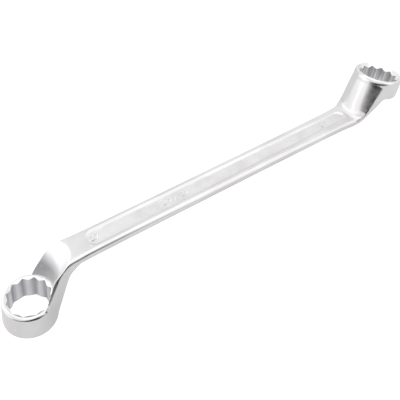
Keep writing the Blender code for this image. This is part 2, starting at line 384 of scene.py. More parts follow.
class StudioSettings(bpy.types.PropertyGroup):
    """Floor, light and camera."""

    floor_colour: colour_property("Floor colour", "Colour of the plain floor", (0.82, 0.82, 0.82))
    floor_size: length_property("Floor size", "Side of the square floor", 6.0)
    focal_length: bpy.props.FloatProperty(
        name="Focal length",
        description="Focal length of the camera, for a 36 mm sensor",
        default=47.63,
        unit="CAMERA",
    )
    azimuth: angle_property(
        "Azimuth", "Direction from which the camera looks, from +X towards +Y", 248.22
    )
    elevation: angle_property("Elevation", "Height angle from which the camera looks", 38.06)
    roll: angle_property("Roll", "Turn of the camera about its own line of sight", -9.24)


class Ring(NamedTuple):
    """One ring of the forging: its place in the side view, its wall and its opening."""

    centre: np.ndarray
    lean: float
    taper: float
    radius: float
    flare: float
    height: float
    face_round: tuple
    across_flats: float
    lead_in: float
    lead_in_slope: float
    streakiness: float


def large_ring(sizes):
    return Ring(
        centre=LARGE_CENTRE,
        lean=LARGE_LEAN,
        taper=LARGE_TAPER,
        radius=sizes.large_ring_radius,
        flare=sizes.large_ring_flare,
        height=sizes.large_ring_height,
        face_round=tuple(sizes.large_face_round),
        across_flats=sizes.large_across_flats,
        lead_in=sizes.large_lead_in,
        lead_in_slope=LARGE_LEAD_IN_SLOPE,
        streakiness=LARGE_STREAKINESS,
    )


def small_ring(sizes):
    return Ring(
        centre=SMALL_CENTRE,
        lean=SMALL_LEAN,
        taper=SMALL_TAPER,
        radius=sizes.small_ring_radius,
        flare=0,
        height=sizes.small_ring_height,
        face_round=tuple(sizes.small_face_round),
        across_flats=sizes.small_across_flats,
        lead_in=sizes.small_lead_in,
        lead_in_slope=SMALL_LEAD_IN_SLOPE,
        streakiness=SMALL_STREAKINESS,
    )


def direction(slope):
    """Unit vector, in the side view or the plan, at this many degrees."""
    angle = math.radians(slope)
    return np.array([math.cos(angle), math.sin(angle)])


def rounded(first, corner, last, steps):
    """Conic arc from one point to another that rounds the corner between them."""
    inward = (first - corner) / np.linalg.norm(first - corner)
    outward = (last - corner) / np.linalg.norm(last - corner)
    weight = math.sin(math.acos(float(np.clip(inward @ outward, -1, 1))) / 2)
    share = np.linspace(0, 1, steps)[:, None]
    parts = ((1 - share) ** 2, 2 * weight * share * (1 - share), share**2)
    return (parts[0] * first + parts[1] * corner + parts[2] * last) / sum(parts)


def bend(before, corner, after, radius, steps):
    """Arc of this radius that rounds the corner of a line, from one tangent point to the other."""
    inward = (before - corner) / np.linalg.norm(before - corner)
    outward = (after - corner) / np.linalg.norm(after - corner)
    reach = radius / math.tan(math.acos(float(inward @ outward)) / 2)
    return rounded(corner + inward * reach, corner, corner + outward * reach, steps)


def side_line(start, large_corner, small_corner, end, large_radius, small_radius):
    """Side-view line of one face of the forging, from inside the large ring to inside the small one."""
    first = bend(start, large_corner, small_corner, large_radius, BEND_STEPS)
    second = bend(large_corner, small_corner, end, small_radius, BEND_STEPS)
    lead = np.linspace(start, first[0], STRAIGHT_STEPS, endpoint=False)
    middle = np.linspace(first[-1], second[0], SHANK_STEPS + 2)[1:-1]
    tail = np.linspace(second[-1], end, STRAIGHT_STEPS + 1)[1:]
    return np.concatenate([lead, first, middle, second, tail])


def length_to_height(corner, slope, ring, height):
    """Length from a corner along this slope to a height over a ring's upper face."""
    axis = np.array([math.sin(math.radians(ring.lean)), math.cos(math.radians(ring.lean))])
    return (height - float((corner - ring.centre) @ axis)) / float(direction(slope) @ axis)


def upper_line(small):
    """Line of the numbered face, with the large ring's neck and the small ring's nose."""
    large_reach, large_slope, large_bend = LARGE_UPPER_LINE
    small_reach, small_slope, small_bend = SMALL_UPPER_LINE
    large_corner = np.array([LARGE_CENTRE[0] + large_reach, 0])
    small_corner = np.array([SMALL_CENTRE[0] - small_reach, 0])
    length = length_to_height(small_corner, small_slope, small, -NOSE_END_DEPTH)
    start = large_corner - LARGE_UPPER_LENGTH * direction(large_slope)
    end = small_corner + length * direction(small_slope)
    return side_line(start, large_corner, small_corner, end, large_bend, small_bend)


def lower_line(large):
    """Line of the opposite face, with the large ring's nose and the small ring's neck."""
    large_reach, large_slope, large_bend = LARGE_LOWER_LINE
    small_reach, small_slope, small_bend = SMALL_LOWER_LINE
    large_corner = np.array([LARGE_CENTRE[0] + large_reach, -SHANK_THICKNESS])
    small_corner = np.array([SMALL_CENTRE[0] - small_reach, -SHANK_THICKNESS])
    length = length_to_height(large_corner, large_slope, large, NOSE_END_DEPTH - large.height)
    start = large_corner + length * direction(large_slope)
    end = small_corner + SMALL_LOWER_LENGTH * direction(small_slope)
    return side_line(start, large_corner, small_corner, end, large_bend, small_bend)


def side_distance(point, ring):
    """How far a side-view point lies from a ring's axis, towards +X."""
    across = np.array([math.cos(math.radians(ring.lean)), -math.sin(math.radians(ring.lean))])
    return float((point - ring.centre) @ across)


def half_width(point, large, small):
    """Half the forging's width at a side-view point: the neck's sides leave each ring at a tangent."""
    share = np.clip((point[0] - LARGE_CENTRE[0]) / CENTRE_DISTANCE, 0, 1)
    width = ((1 - share) * LARGE_SHANK_WIDTH + share * SMALL_SHANK_WIDTH) / 2
    for ring, distance in ((large, side_distance(point, large)), (small, -side_distance(point, small))):
        inner = ring.radius - SIDE_INSET
        angle = math.radians(ring.taper)
        if distance < inner * math.sin(angle):
            return math.sqrt(inner**2 - distance**2)
        side = inner / math.cos(angle) - distance * math.tan(angle)
        width = (side + width + math.hypot(side - width, SIDE_BLEND)) / 2
    return width


def blend_rounds(first, second, share):
    """Rounding, as (across, down), part of the way from one to another."""
    return tuple((1 - share) * a + share * b for a, b in zip(first, second))


def nose_end(height_share, ring_radius, slant):
    """Curve, slant and rounding of a nose: flat on the shank, and as round as the ring at its height."""
    curve = float(np.interp(height_share, CROWN_HEIGHT_SHARES, CROWN_CURVE_SHARES)) / ring_radius
    share = np.clip(height_share / CREASE_HEIGHT_SHARE, 0, 1)
    return curve, slant, blend_rounds(SHANK_ROUND, CREASE_ROUND, share)


def entry_end(drop):
    """Flat end of a neck on the ring's entry side, whose edges turn crisp as it leaves the shank."""
    return 0, 1, blend_rounds(SHANK_ROUND, CRISP_ROUND, np.clip(drop / CRISP_DROP, 0, 1))


def cosine_to_normal(across_section, along_line):
    """Cosine of the angle between a section's direction and the normal of a line it starts from."""
    normal = np.array([-along_line[1], along_line[0]]) / np.linalg.norm(along_line)
    return max(LEAST_SECTION_COSINE, float(across_section @ normal))


def crown_depth(across, curve, slant):
    """How far a crowned face has fallen at this distance from its middle."""
    return curve * across**2 / (1 + np.sqrt(np.maximum(0, 1 - (curve * across) ** 2))) / slant


def end_outline(width, far_width, span, curve, slant, rounding):
    """Half of one end of a section, as (across, depth) points from its middle to its side."""
    widening = (far_width - width) / span
    double = 2 * slant - 2 * width * widening * curve
    squares = (widening**2 + slant**2) * width**2 * curve**2
    depth = 2 * width**2 * curve / (double + math.sqrt(max(0, double**2 - 4 * squares)))
    corner = np.array([width + widening * depth, depth])
    deepest = max(LEAST_ROUND_SHARE * span, span * DEEPEST_ROUND_SHARE - depth)
    across = min(rounding[0], corner[0] / 2)
    down = min(rounding[1], deepest)
    reaches = np.linspace(0, corner[0] - across, CROWN_STEPS)
    crown = [(reach, crown_depth(reach, curve, slant)) for reach in reaches]
    on_side = np.array([corner[0] + widening * down, depth + down])
    edge = rounded(np.array(crown[-1]), corner, on_side, CORNER_STEPS)
    return crown[:-1] + [tuple(point) for point in edge]


def section(high, low, high_end, low_end, large, small):
    """Rounded outline of the forging between a point of its upper line and one of its lower line."""
    span = np.linalg.norm(high - low)
    up = (high - low) / span
    high_width = half_width(high, large, small)
    low_width = half_width(low, large, small)
    right_side = end_outline(low_width, high_width, span, *low_end)
    top = end_outline(high_width, low_width, span, *high_end)
    right_side += [(across, span - depth) for across, depth in top[::-1]]
    outline = right_side + [(-across, height) for across, height in right_side[-2:0:-1]]
    return [(low[0] + up[0] * h, across, low[1] + up[1] * h) for across, h in outline]


def forging_outlines(large, small):
    """All outlines of the forging, from inside the large ring to inside the small one."""
    upper = upper_line(small)
    lower = lower_line(large)
    rim_height = SMALL_CENTRE[1] + small.radius * math.sin(math.radians(SMALL_LEAN))
    rim_drop = -lower[0][1] - SHANK_THICKNESS
    upper_ways = np.gradient(upper, axis=0)
    lower_ways = np.gradient(lower, axis=0)
    outlines = []
    for high, low, high_way, low_way in zip(upper, lower, upper_ways, lower_ways):
        up = (high - low) / np.linalg.norm(high - low)
        if high[0] > 0:
            slant = cosine_to_normal(up, high_way)
            high_end = nose_end(high[1] / rim_height, small.radius, slant)
            low_end = entry_end(low[1] + SHANK_THICKNESS)
        else:
            slant = cosine_to_normal(up, low_way)
            high_end = entry_end(-high[1])
            low_end = nose_end(-(low[1] + SHANK_THICKNESS) / rim_drop, large.radius, slant)
        outlines.append(section(high, low, high_end, low_end, large, small))
    return outlines


@contextmanager
def editing(piece):
    """Opens a piece in edit mode with all of it selected, and leaves edit mode again."""
    bpy.context.view_layer.objects.active = piece
    bpy.ops.object.mode_set(mode="EDIT")
    bpy.ops.mesh.select_all(action="SELECT")
    yield
    bpy.ops.object.mode_set(mode="OBJECT")


def modify(piece, name, kind, **settings):
    """Gives a piece a modifier with these settings and applies it."""
    modifier = piece.modifiers.new(name, kind)
    for setting, value in settings.items():
        setattr(modifier, setting, value)
    bpy.context.view_layer.objects.active = piece
    bpy.ops.object.modifier_apply(modifier=modifier.name)


def boolean(body, tool, operation):
    """Joins a tool to a body or cuts it away, and removes the tool."""
    modify(body, tool.name, "BOOLEAN", operation=operation, solver="EXACT", object=tool)
    bpy.data.objects.remove(tool)


def loft(name, outlines, place=Matrix.Identity(4)):
    """Wraps a sheet of quads through closed outlines, one after the other, and fills both ends."""
    bpy.ops.object.select_all(action="DESELECT")
    bpy.ops.mesh.primitive_grid_add(x_subdivisions=len(outlines[0]), y_subdivisions=len(outlines) - 1)
    solid = bpy.context.object
    solid.name = name
    points = np.array([[*outline, outline[0]] for outline in outlines], dtype=np.float32)
    solid.data.vertices.foreach_set("co", points.ravel())
    with editing(solid):
        bpy.ops.mesh.remove_doubles(threshold=MERGE_DISTANCE)
        bpy.ops.mesh.fill_holes(sides=0)
        bpy.ops.mesh.select_all(action="SELECT")
        bpy.ops.mesh.normals_make_consistent(inside=False)
    solid.data.transform(place)
    return solid


def turned(name, profile, place):
    """Solid of revolution around a ring's axis, from (radius, height) points, lowest first."""
    angles = np.linspace(0, 2 * math.pi, RING_FACETS, endpoint=False)
    outlines = [[(r * math.cos(a), r * math.sin(a), height) for a in angles] for r, height in profile]
    return loft(name, outlines, place)


def ring_place(ring):
    """Puts a shape made around the Z axis, with the ring's upper face at zero, onto a ring."""
    centre = Matrix.Translation((ring.centre[0], 0, ring.centre[1]))
    return centre @ Matrix.Rotation(math.radians(ring.lean), 4, "Y")


def ring_wall(name, ring, rim_round):
    """Solid inside a ring's outer wall, whose upper face rolls into it and whose lower rim is rounded."""
    arc = np.linspace(0, math.pi / 2, ARC_STEPS)
    radius = ring.radius
    height = ring.height
    lower = radius + ring.flare - rim_round
    across, down = ring.face_round
    profile = [(lower + rim_round * math.sin(t), rim_round * (1 - math.cos(t)) - height) for t in arc]
    profile += [(radius - across * (1 - math.cos(t)), down * (math.sin(t) - 1)) for t in arc]
    return turned(name, profile, ring_place(ring))


def bell_profile(wall_radius, face_reach, reach_height):
    """Clearing over a ring's entry face: a wall that opens, a crest, and a shoulder up to the shank."""
    opening = math.tan(math.radians(BELL_OPENING))
    crest_height = reach_height * BELL_CREST_SHARE
    foot = np.array([wall_radius, 0])
    crest = np.array([wall_radius + crest_height * opening, crest_height])
    rise = reach_height - crest_height
    top = np.array([crest[0] + rise / math.tan(math.radians(SHOULDER_SLOPE)), reach_height])
    up_wall = (crest - foot) / np.linalg.norm(crest - foot)
    up_shoulder = (top - crest) / np.linalg.norm(top - crest)
    below_crest = crest - BELL_CREST_REACH * up_wall
    above_crest = crest + BELL_CREST_REACH * up_shoulder
    below_top = top - SHOULDER_REACH * up_shoulder
    past_top = np.array([max(face_reach, top[0] + SHOULDER_REACH), reach_height])
    profile = [(wall_radius, -OVERRUN), (wall_radius, 0)]
    profile += [tuple(point) for point in rounded(below_crest, crest, above_crest, ARC_STEPS)]
    profile += [tuple(point) for point in rounded(below_top, top, past_top, ARC_STEPS)]
    profile.append((past_top[0], reach_height + OVERRUN))
    return profile


def corner_radius(across_flats):
    """Distance from an opening's axis to the corners that take a nut's corners."""
    return across_flats / math.sqrt(3)


def ridge_radius(across_flats):
    """Distance from an opening's axis to the ridges between its corners."""
    return across_flats / 2 / math.cos(math.radians(STAR_STEP))


def clear_large_ring(body, large):
    """Cuts the neck away above the large ring, so that a nut's stud has room."""
    wall = corner_radius(large.across_flats) + large.lead_in + BELL_MARGIN
    lean = math.radians(LARGE_LEAN)
    height = (LARGE_DROP + LARGE_FACE_REACH * math.sin(lean)) / math.cos(lean)
    profile = bell_profile(wall, LARGE_FACE_REACH, height)
    boolean(body, turned("large_bell", profile, ring_place(large)), "DIFFERENCE")


def clear_small_ring(body, small):
    """Cuts the neck away below the small ring."""
    wall = corner_radius(small.across_flats) + 2 * BELL_MARGIN
    lean = math.radians(SMALL_LEAN)
    height = (SMALL_RISE + SHANK_THICKNESS + SMALL_FACE_REACH * math.sin(lean)) / math.cos(lean)
    profile = bell_profile(wall, SMALL_FACE_REACH, height - small.height)
    profile = [(radius, -h - small.height) for radius, h in profile[::-1]]
    boolean(body, turned("small_bell", profile, ring_place(small)), "DIFFERENCE")


def squeeze(mesh, back):
    """Shortens the plain middle of the shank, where long faces are enough, or stretches it back."""
    real = np.array([-CENTRE_DISTANCE, -PLAIN_HALF_LENGTH, PLAIN_HALF_LENGTH, CENTRE_DISTANCE])
    saved = PLAIN_HALF_LENGTH * (1 - PLAIN_SQUEEZE_SHARE)
    short = real + np.array([saved, saved, -saved, -saved])
    points = np.empty(len(mesh.vertices) * 3, np.float32)
    mesh.vertices.foreach_get("co", points)
    points = points.reshape(-1, 3)
    points[:, 0] = np.interp(points[:, 0], short, real) if back else np.interp(points[:, 0], real, short)
    mesh.vertices.foreach_set("co", points.ravel())
    mesh.update()


def crease_points(mesh):
    """Points along the sharp edges that the joins and cuts left in the forging."""
    form = bmesh.new()
    form.from_mesh(mesh)
    points = []
    for edge in form.edges:
        if edge.is_manifold and edge.calc_face_angle() > math.radians(CREASE_ANGLE):
            first, last = (vertex.co for vertex in edge.verts)
            steps = max(1, int((last - first).length / CREASE_STEP))
            points += [first.lerp(last, (i + 0.5) / steps) for i in range(steps)]
    form.free()
    return points


def weigh_creases(body, exact, reach):
    """Vertex group that is full on the exact mesh's creases and fades out over this reach."""
    creases = crease_points(exact.data)
    tree = KDTree(len(creases))
    for i, point in enumerate(creases):
        tree.insert(point, i)
    tree.balance()
    group = body.vertex_groups.new(name="creases")
    for vertex in body.data.vertices:
        distance = tree.find(vertex.co)[2]
        if distance < reach:
            group.add([vertex.index], 1 - (distance / reach) ** 2, "REPLACE")
    return group


def even_skin(body, sizes):
    """Rebuilds the forging from small even quads laid on its exact faces, and softens its creases."""
    exact = body.copy()
    exact.data = body.data.copy()
    bpy.context.scene.collection.objects.link(exact)
    squeeze(body.data, back=False)
    modify(body, "even_skin", "REMESH", mode="VOXEL", voxel_size=sizes.skin_size)
    squeeze(body.data, back=True)
    modify(body, "on_exact_faces", "SHRINKWRAP", target=exact, wrap_method="NEAREST_SURFACEPOINT")
    modify(body, "even_out", "SMOOTH", factor=SMOOTHING_FACTOR, iterations=EVEN_PASSES)
    group = weigh_creases(body, exact, sizes.crease_reach)
    modify(
        body,
        "soft_creases",
        "SMOOTH",
        factor=SMOOTHING_FACTOR,
        iterations=sizes.crease_passes,
        vertex_group=group.name,
    )
    body.vertex_groups.clear()
    bpy.data.objects.remove(exact)


def star_outline(across_flats, round_radius):
    """Twelve-point outline with its corners and ridges slightly rounded."""
    corner = corner_radius(across_flats)
    ridge = ridge_radius(across_flats)
    points = [(ridge if i % 2 else corner) * direction(STAR_STEP * i) for i in range(STAR_TURNS)]
    outline = []
    for i in range(STAR_TURNS):
        after = points[(i + 1) % STAR_TURNS]
        outline += list(bend(points[i - 1], points[i], after, round_radius, STAR_CORNER_STEPS))
    return outline


def opening_tool(name, ring, corner_round):
    """Twelve-point opening with a lead-in cone at each face."""
    place = ring_place(ring)
    star = star_outline(ring.across_flats, corner_round)
    levels = [[(x, y, h) for x, y in star] for h in (-ring.height - OVERRUN, OVERRUN)]
    tool = loft(name, levels, place)
    mouth = corner_radius(ring.across_flats) + ring.lead_in
    ridge = ring.across_flats / 2
    slope = math.tan(math.radians(ring.lead_in_slope))
    depth = (mouth - ridge) * slope + OVERRUN / 4
    inner = mouth - depth / slope
    outer = mouth + OVERRUN / slope
    upper = turned("upper_lead_in", [(inner, -depth), (outer, OVERRUN)], place)
    lower_profile = [(outer, -ring.height - OVERRUN), (inner, depth - ring.height)]
    lower = turned("lower_lead_in", lower_profile, place)
    boolean(tool, upper, "UNION")
    boolean(tool, lower, "UNION")
    return tool


def panel_tool(name, face, outward, sizes):
    """Long recess with round ends that narrows towards the small ring, with a soft lip and foot."""
    foot = sizes.panel_foot
    lip = PANEL_DEPTH / (1 - math.cos(sizes.panel_slope)) - foot
    arc = np.linspace(0, sizes.panel_slope, ARC_STEPS)
    steepest = foot * math.sin(sizes.panel_slope)
    levels = [(foot * math.sin(t) - steepest, foot * (1 - math.cos(t)) - PANEL_DEPTH) for t in arc]
    levels += [(lip * (math.sin(arc[-1]) - math.sin(t)), lip * (math.cos(t) - 1)) for t in arc[-2::-1]]
    levels.append((levels[-1][0] + OVERRUN, OVERRUN))
    ends = (LARGE_CENTRE[0] + LARGE_PANEL_START, SMALL_CENTRE[0] - SMALL_PANEL_START)
    angles = (np.arange(PANEL_FACETS) + 0.5) * 2 * math.pi / PANEL_FACETS
    outlines = []
    for widening, height in levels:
        outline = []
        for angle in angles:
            large = math.cos(angle) < 0
            radius = LARGE_PANEL_RADIUS if large else SMALL_PANEL_RADIUS
            middle = ends[0] + radius if large else ends[1] - radius
            radius += widening
            x = middle + radius * math.cos(angle)
            outline.append((x, radius * math.sin(angle), face + outward * height))
        outlines.append(outline)
    return loft(name, outlines)


def number_tool(text, start, sizes):
    """Plain raised figures on the panel's floor, read from the large ring's end."""
    bpy.ops.object.select_all(action="DESELECT")
    bpy.ops.object.text_add()
    figures = bpy.context.object
    figures.data.body = text
    figures.data.size = sizes.digit_height
    figures.data.align_y = "CENTER"
    figures.data.resolution_u = FIGURE_CURVE_STEPS
    figures.data.bevel_depth = sizes.digit_edge
    figures.data.bevel_resolution = 1
    figures.data.offset = -sizes.digit_edge
    figures.data.extrude = (sizes.digit_relief + DIGIT_ROOT) / 2 - sizes.digit_edge
    bpy.ops.object.convert(target="MESH")
    figures = bpy.context.object
    with editing(figures):
        bpy.ops.mesh.remove_doubles(threshold=MERGE_DISTANCE)
        bpy.ops.mesh.dissolve_limited(angle_limit=math.radians(FIGURE_FLAT_ANGLE))
        bpy.ops.mesh.normals_make_consistent(inside=False)
    height = (sizes.digit_relief - DIGIT_ROOT) / 2 - PANEL_DEPTH
    figures.data.transform(Matrix.Translation((LARGE_CENTRE[0] + start, 0, height)))
    return figures


def joined(name, pieces):
    """One object of several that don't touch."""
    bpy.ops.object.select_all(action="DESELECT")
    for piece in pieces:
        piece.select_set(True)
    bpy.context.view_layer.objects.active = pieces[0]
    bpy.ops.object.join()
    pieces[0].name = name
    return pieces[0]


def close_seams(body):
    """Welds the slivers that the cuts leave, so that the skin is closed."""
    with editing(body):
        bpy.ops.mesh.remove_doubles(threshold=SEAM_WELD)
        bpy.ops.mesh.dissolve_degenerate(threshold=SEAM_WELD)
        bpy.ops.mesh.select_all(action="DESELECT")
        bpy.ops.mesh.select_non_manifold()
        bpy.ops.mesh.fill_holes(sides=0)
        bpy.ops.mesh.select_all(action="SELECT")
        bpy.ops.mesh.delete_loose()


def build_body(sizes, large, small):
    """Forging with both rings, its panels, numbers and openings, as one piece."""
    body = loft("spanner", forging_outlines(large, small))
    clear_large_ring(body, large)
    clear_small_ring(body, small)
    boolean(body, ring_wall("large_ring", large, sizes.rim_round), "UNION")
    boolean(body, ring_wall("small_ring", small, sizes.rim_round), "UNION")
    even_skin(body, sizes)
    cuts = (
        opening_tool("large_opening", large, sizes.corner_round),
        opening_tool("small_opening", small, sizes.corner_round),
        panel_tool("upper_panel", 0, 1, sizes),
        panel_tool("lower_panel", -SHANK_THICKNESS, -1, sizes),
    )
    boolean(body, joined("cuts", cuts), "DIFFERENCE")
    numbers = (
        ("27", LARGE_NUMBER_START),
        ("24", CENTRE_DISTANCE - SMALL_NUMBER_START),
        ("24 x 27", LEGEND_START),
    )
    figures = [number_tool(text, start, sizes) for text, start in numbers]
    boolean(body, joined("figures", figures), "UNION")
    close_seams(body)
    body.data.transform(Matrix.Translation((0, 0, PANEL_DEPTH)))
    bpy.ops.object.select_all(action="DESELECT")
    body.select_set(True)
    bpy.context.view_layer.objects.active = body
    bpy.ops.object.shade_smooth_by_angle(angle=math.radians(SMOOTH_ANGLE))
    return body


def add_node(tree, kind, sockets=None, **settings):
    """Adds a node whose sockets take a value, or the output of another node."""
    node = tree.nodes.new(kind)
    for name, value in settings.items():
        setattr(node, name, value)
    for name, value in (sockets or {}).items():
        if isinstance(value, bpy.types.NodeSocket):
            tree.links.new(value, node.inputs[name])
        else:
            node.inputs[name].default_value = value
    return node


def new_group(name, inputs, outputs):
    """Empty node group on a vector and these numbers, with its input and its output sockets."""
    group = bpy.data.node_groups.new(name, "ShaderNodeTree")
    group.interface.new_socket(name="Vector", in_out="INPUT", socket_type="NodeSocketVector")
    for side, sockets in (("INPUT", inputs), ("OUTPUT", outputs)):
        for socket in sockets:
            group.interface.new_socket(name=socket, in_out=side, socket_type="NodeSocketFloat")
    return group, group.nodes.new("NodeGroupInput").outputs, group.nodes.new("NodeGroupOutput").inputs


def new_material(name, sockets):
    """Material whose Principled shader has these values."""
    material = bpy.data.materials.new(name)
    material.use_nodes = True
    surface = material.node_tree.nodes["Principled BSDF"]
    for socket, value in sockets.items():
        surface.inputs[socket].default_value = value
    return material, material.node_tree, surface


def arithmetic(tree, operation, first, second):
    return add_node(tree, "ShaderNodeMath", {0: first, 1: second}, operation=operation).outputs[0]


def between_values(tree, value, low, high, to_low=0, to_high=1):
    """Output that moves softly from one value to another as the input crosses a range."""
    sockets = {"Value": value, "From Min": low, "From Max": high, "To Min": to_low, "To Max": to_high}
    ramp = add_node(tree, "ShaderNodeMapRange", sockets, interpolation_type="SMOOTHSTEP")
    return ramp.outputs["Result"]


def mixed_colour(tree, factor, first, second):
    """Colour between two, each of them an output or its red, green and blue."""
    sockets = {MIX_FACTOR: factor}
    for socket, colour in zip(MIX_COLOURS, (first, second)):
        sockets[socket] = colour if isinstance(colour, bpy.types.NodeSocket) else (*colour, 1)
    return add_node(tree, "ShaderNodeMix", sockets, data_type="RGBA").outputs[MIX_COLOUR_RESULT]


def mixed_value(tree, factor, first, second):
    sockets = {MIX_FACTOR: factor, **dict(zip(MIX_VALUES, (first, second)))}
    return add_node(tree, "ShaderNodeMix", sockets).outputs["Result"]


def noise(tree, place, pattern):
    """Noise in a pattern of (scale, detail, roughness)."""
    scale, detail, roughness = pattern
    sockets = {"Vector": place, "Scale": scale, "Detail": detail, "Roughness": roughness}
    return add_node(tree, "ShaderNodeTexNoise", sockets).outputs["Fac"]


def scaled_vector(tree, vector, scales):
    return add_node(tree, "ShaderNodeVectorMath", {0: vector, 1: scales}, operation="MULTIPLY").outputs[0]


def distance_to_axis(tree, place):
    """Distance of a place from the Z axis of its coordinates."""
    flat = scaled_vector(tree, place, (1, 1, 0))
    return add_node(tree, "ShaderNodeVectorMath", {0: flat}, operation="LENGTH").outputs["Value"]


def object_place(tree):
    return add_node(tree, "ShaderNodeTexCoord").outputs["Object"]


def ring_coordinates(tree, ring):
    """Coordinates around a ring's axis, with zero at its upper face."""
    place = (ring.centre[0], 0, ring.centre[1] + PANEL_DEPTH)
    turn = (0, math.radians(ring.lean), 0)
    sockets = {"Vector": object_place(tree), "Location": place, "Rotation": turn}
    return add_node(tree, "ShaderNodeMapping", sockets, vector_type="TEXTURE").outputs["Vector"]


def polish_group():
    """Marks of the polishing wheel: fine grain, the slow waves of work by hand, and faint smudges."""
    group, given, result = new_group("polish_marks", ("Grain",), ("Height", "Smudge", "Cloud"))
    place = given["Vector"]
    grain = arithmetic(group, "MULTIPLY", noise(group, place, GRAIN_NOISE), given["Grain"])
    wave = noise(group, place, WAVE_NOISE)
    smudge = noise(group, place, SMUDGE_NOISE)
    cloud = noise(group, place, CLOUD_NOISE)
    group.links.new(arithmetic(group, "ADD", grain, wave), result["Height"])
    group.links.new(between_values(group, smudge, *SMUDGE_RANGE), result["Smudge"])
    group.links.new(between_values(group, cloud, *CLOUD_RANGE), result["Cloud"])
    return group


def broach_group():
    """Marks of the broach in an opening: streaks along its axis, and painted shade that darkens its
    corners.
    """
    group, given, result = new_group("broach_marks", ("Ridge", "Corner"), ("Streaks", "Painted corner shade"))
    streaks = noise(group, scaled_vector(group, given["Vector"], STREAK_SCALES), STREAK_NOISE)
    radius = distance_to_axis(group, given["Vector"])
    group.links.new(between_values(group, streaks, *STREAK_RANGE), result["Streaks"])
    # Painted shade: the mask that darkens the corners of the opening
    group.links.new(between_values(group, radius, given["Ridge"], given["Corner"]), result["Painted corner shade"])
    return group


def add_polish(tree, surface, polish, grain, height):
    """Gives a surface the polish marks as bump, and returns their smudge and cloud masks."""
    sockets = {"Vector": object_place(tree), "Grain": grain}
    marks = add_node(tree, "ShaderNodeGroup", sockets, node_tree=polish)
    bump = add_node(tree, "ShaderNodeBump", {"Height": marks.outputs["Height"], "Distance": height})
    tree.links.new(bump.outputs["Normal"], surface.inputs["Normal"])
    return marks.outputs["Smudge"], marks.outputs["Cloud"]


def plating_material(name, finish, polish, cleared=None):
    """Satin chrome, brighter on worn edges, and duller where a cutter cleared the way to a ring, where
    painted shade also darkens its colour.
    """
    material, tree, surface = new_material(name, {"Metallic": 1.0})
    smudge, cloud = add_polish(tree, surface, polish, *PLATING_POLISH)
    colour = mixed_colour(tree, cloud, finish.plating_colour, finish.clouded_colour)
    smooth, rough = (finish.roughness + step for step in PLATING_ROUGHNESS_STEPS)
    roughness = between_values(tree, smudge, 0, 1, smooth, rough)
    if cleared is not None:
        radius = distance_to_axis(tree, ring_coordinates(tree, cleared))
        # Painted shade: this mask darkens the clearing's colour, and also dulls its roughness
        mask = between_values(tree, radius, CLEARED_RADIUS, CLEARED_RADIUS + CLEARED_FADE, 1, 0)
        colour = mixed_colour(tree, mask, colour, finish.milled_shade_colour)
        dulling = arithmetic(tree, "MULTIPLY", mask, CLEARED_DULLING)
        roughness = arithmetic(tree, "ADD", roughness, dulling)
    pointiness = add_node(tree, "ShaderNodeNewGeometry").outputs["Pointiness"]
    edge = between_values(tree, pointiness, *WORN_EDGE_RANGE)
    colour = mixed_colour(tree, edge, colour, finish.edge_colour)
    tree.links.new(colour, surface.inputs["Base Color"])
    gloss = arithmetic(tree, "MULTIPLY", edge, WORN_EDGE_GLOSS)
    tree.links.new(arithmetic(tree, "SUBTRACT", roughness, gloss), surface.inputs["Roughness"])
    return material


def panel_material(finish, polish):
    """Floor of the recessed panels: forged, blasted and plated, so grainier than the polished rim."""
    material, tree, surface = new_material("blasted_plating", {"Metallic": 1.0})
    smudge, cloud = add_polish(tree, surface, polish, *PANEL_POLISH)
    colour = mixed_colour(tree, smudge, finish.plating_colour, finish.clouded_colour)
    tree.links.new(colour, surface.inputs["Base Color"])
    smooth, rough = (finish.roughness + step for step in PANEL_ROUGHNESS_STEPS)
    tree.links.new(between_values(tree, cloud, 0, 1, smooth, rough), surface.inputs["Roughness"])
    return material


def opening_material(name, finish, polish, broach, ring):
    """Broached steel under a thin plating, streaked along the opening's axis, with painted light that
    makes its walls lighter than the plating and painted shade in its corners.
    """
    material, tree, surface = new_material(name, {"Metallic": 1.0})
    smudge = add_polish(tree, surface, polish, *OPENING_POLISH)[0]
    sockets = {
        "Vector": ring_coordinates(tree, ring),
        "Ridge": ridge_radius(ring.across_flats),
        "Corner": corner_radius(ring.across_flats),
    }
    marks = add_node(tree, "ShaderNodeGroup", sockets, node_tree=broach)
    streaks = arithmetic(tree, "MULTIPLY", marks.outputs["Streaks"], ring.streakiness)
    # Painted light in the broached colour, and painted shade in the corners
    colour = mixed_colour(tree, streaks, finish.broached_painted_light_colour, finish.streak_colour)
    colour = mixed_colour(tree, marks.outputs["Painted corner shade"], colour, finish.corner_shade_colour)
    tree.links.new(colour, surface.inputs["Base Color"])
    roughness = between_values(tree, smudge, 0, 1, *OPENING_ROUGHNESS)
    tree.links.new(roughness, surface.inputs["Roughness"])
    return material


def on_ring(face, to_ring):
    """A face's distance from a ring's axis, and its place and normal in the ring's own coordinates."""
    place = to_ring @ face.center
    return math.hypot(place.x, place.y), place, to_ring.to_3x3() @ face.normal


def in_opening(face, ring, to_ring):
    """Whether a face is part of the broached wall of a ring's opening."""
    radius, place, normal = on_ring(face, to_ring)
    reach = corner_radius(ring.across_flats) + FLOOR_TOLERANCE
    return radius < reach and place.z < 0 and abs(normal.z) < UPRIGHT_WALL


def in_clearing(face, to_ring):
    """Whether a face is part of the hollow above the large ring."""
    radius, place, normal = on_ring(face, to_ring)
    outward = (normal.x * place.x + normal.y * place.y) / radius
    near = radius < CLEARED_RADIUS + CLEARED_FADE
    return near and place.z > FLOOR_TOLERANCE and outward < INWARD_WALL


def on_panel_floor(face):
    """Whether a face lies on the floor of either panel."""
    floors = (0, 2 * PANEL_DEPTH - SHANK_THICKNESS)
    x, y, z = face.center
    return abs(y) < LARGE_PANEL_RADIUS and any(abs(z - floor) < FLOOR_TOLERANCE for floor in floors)


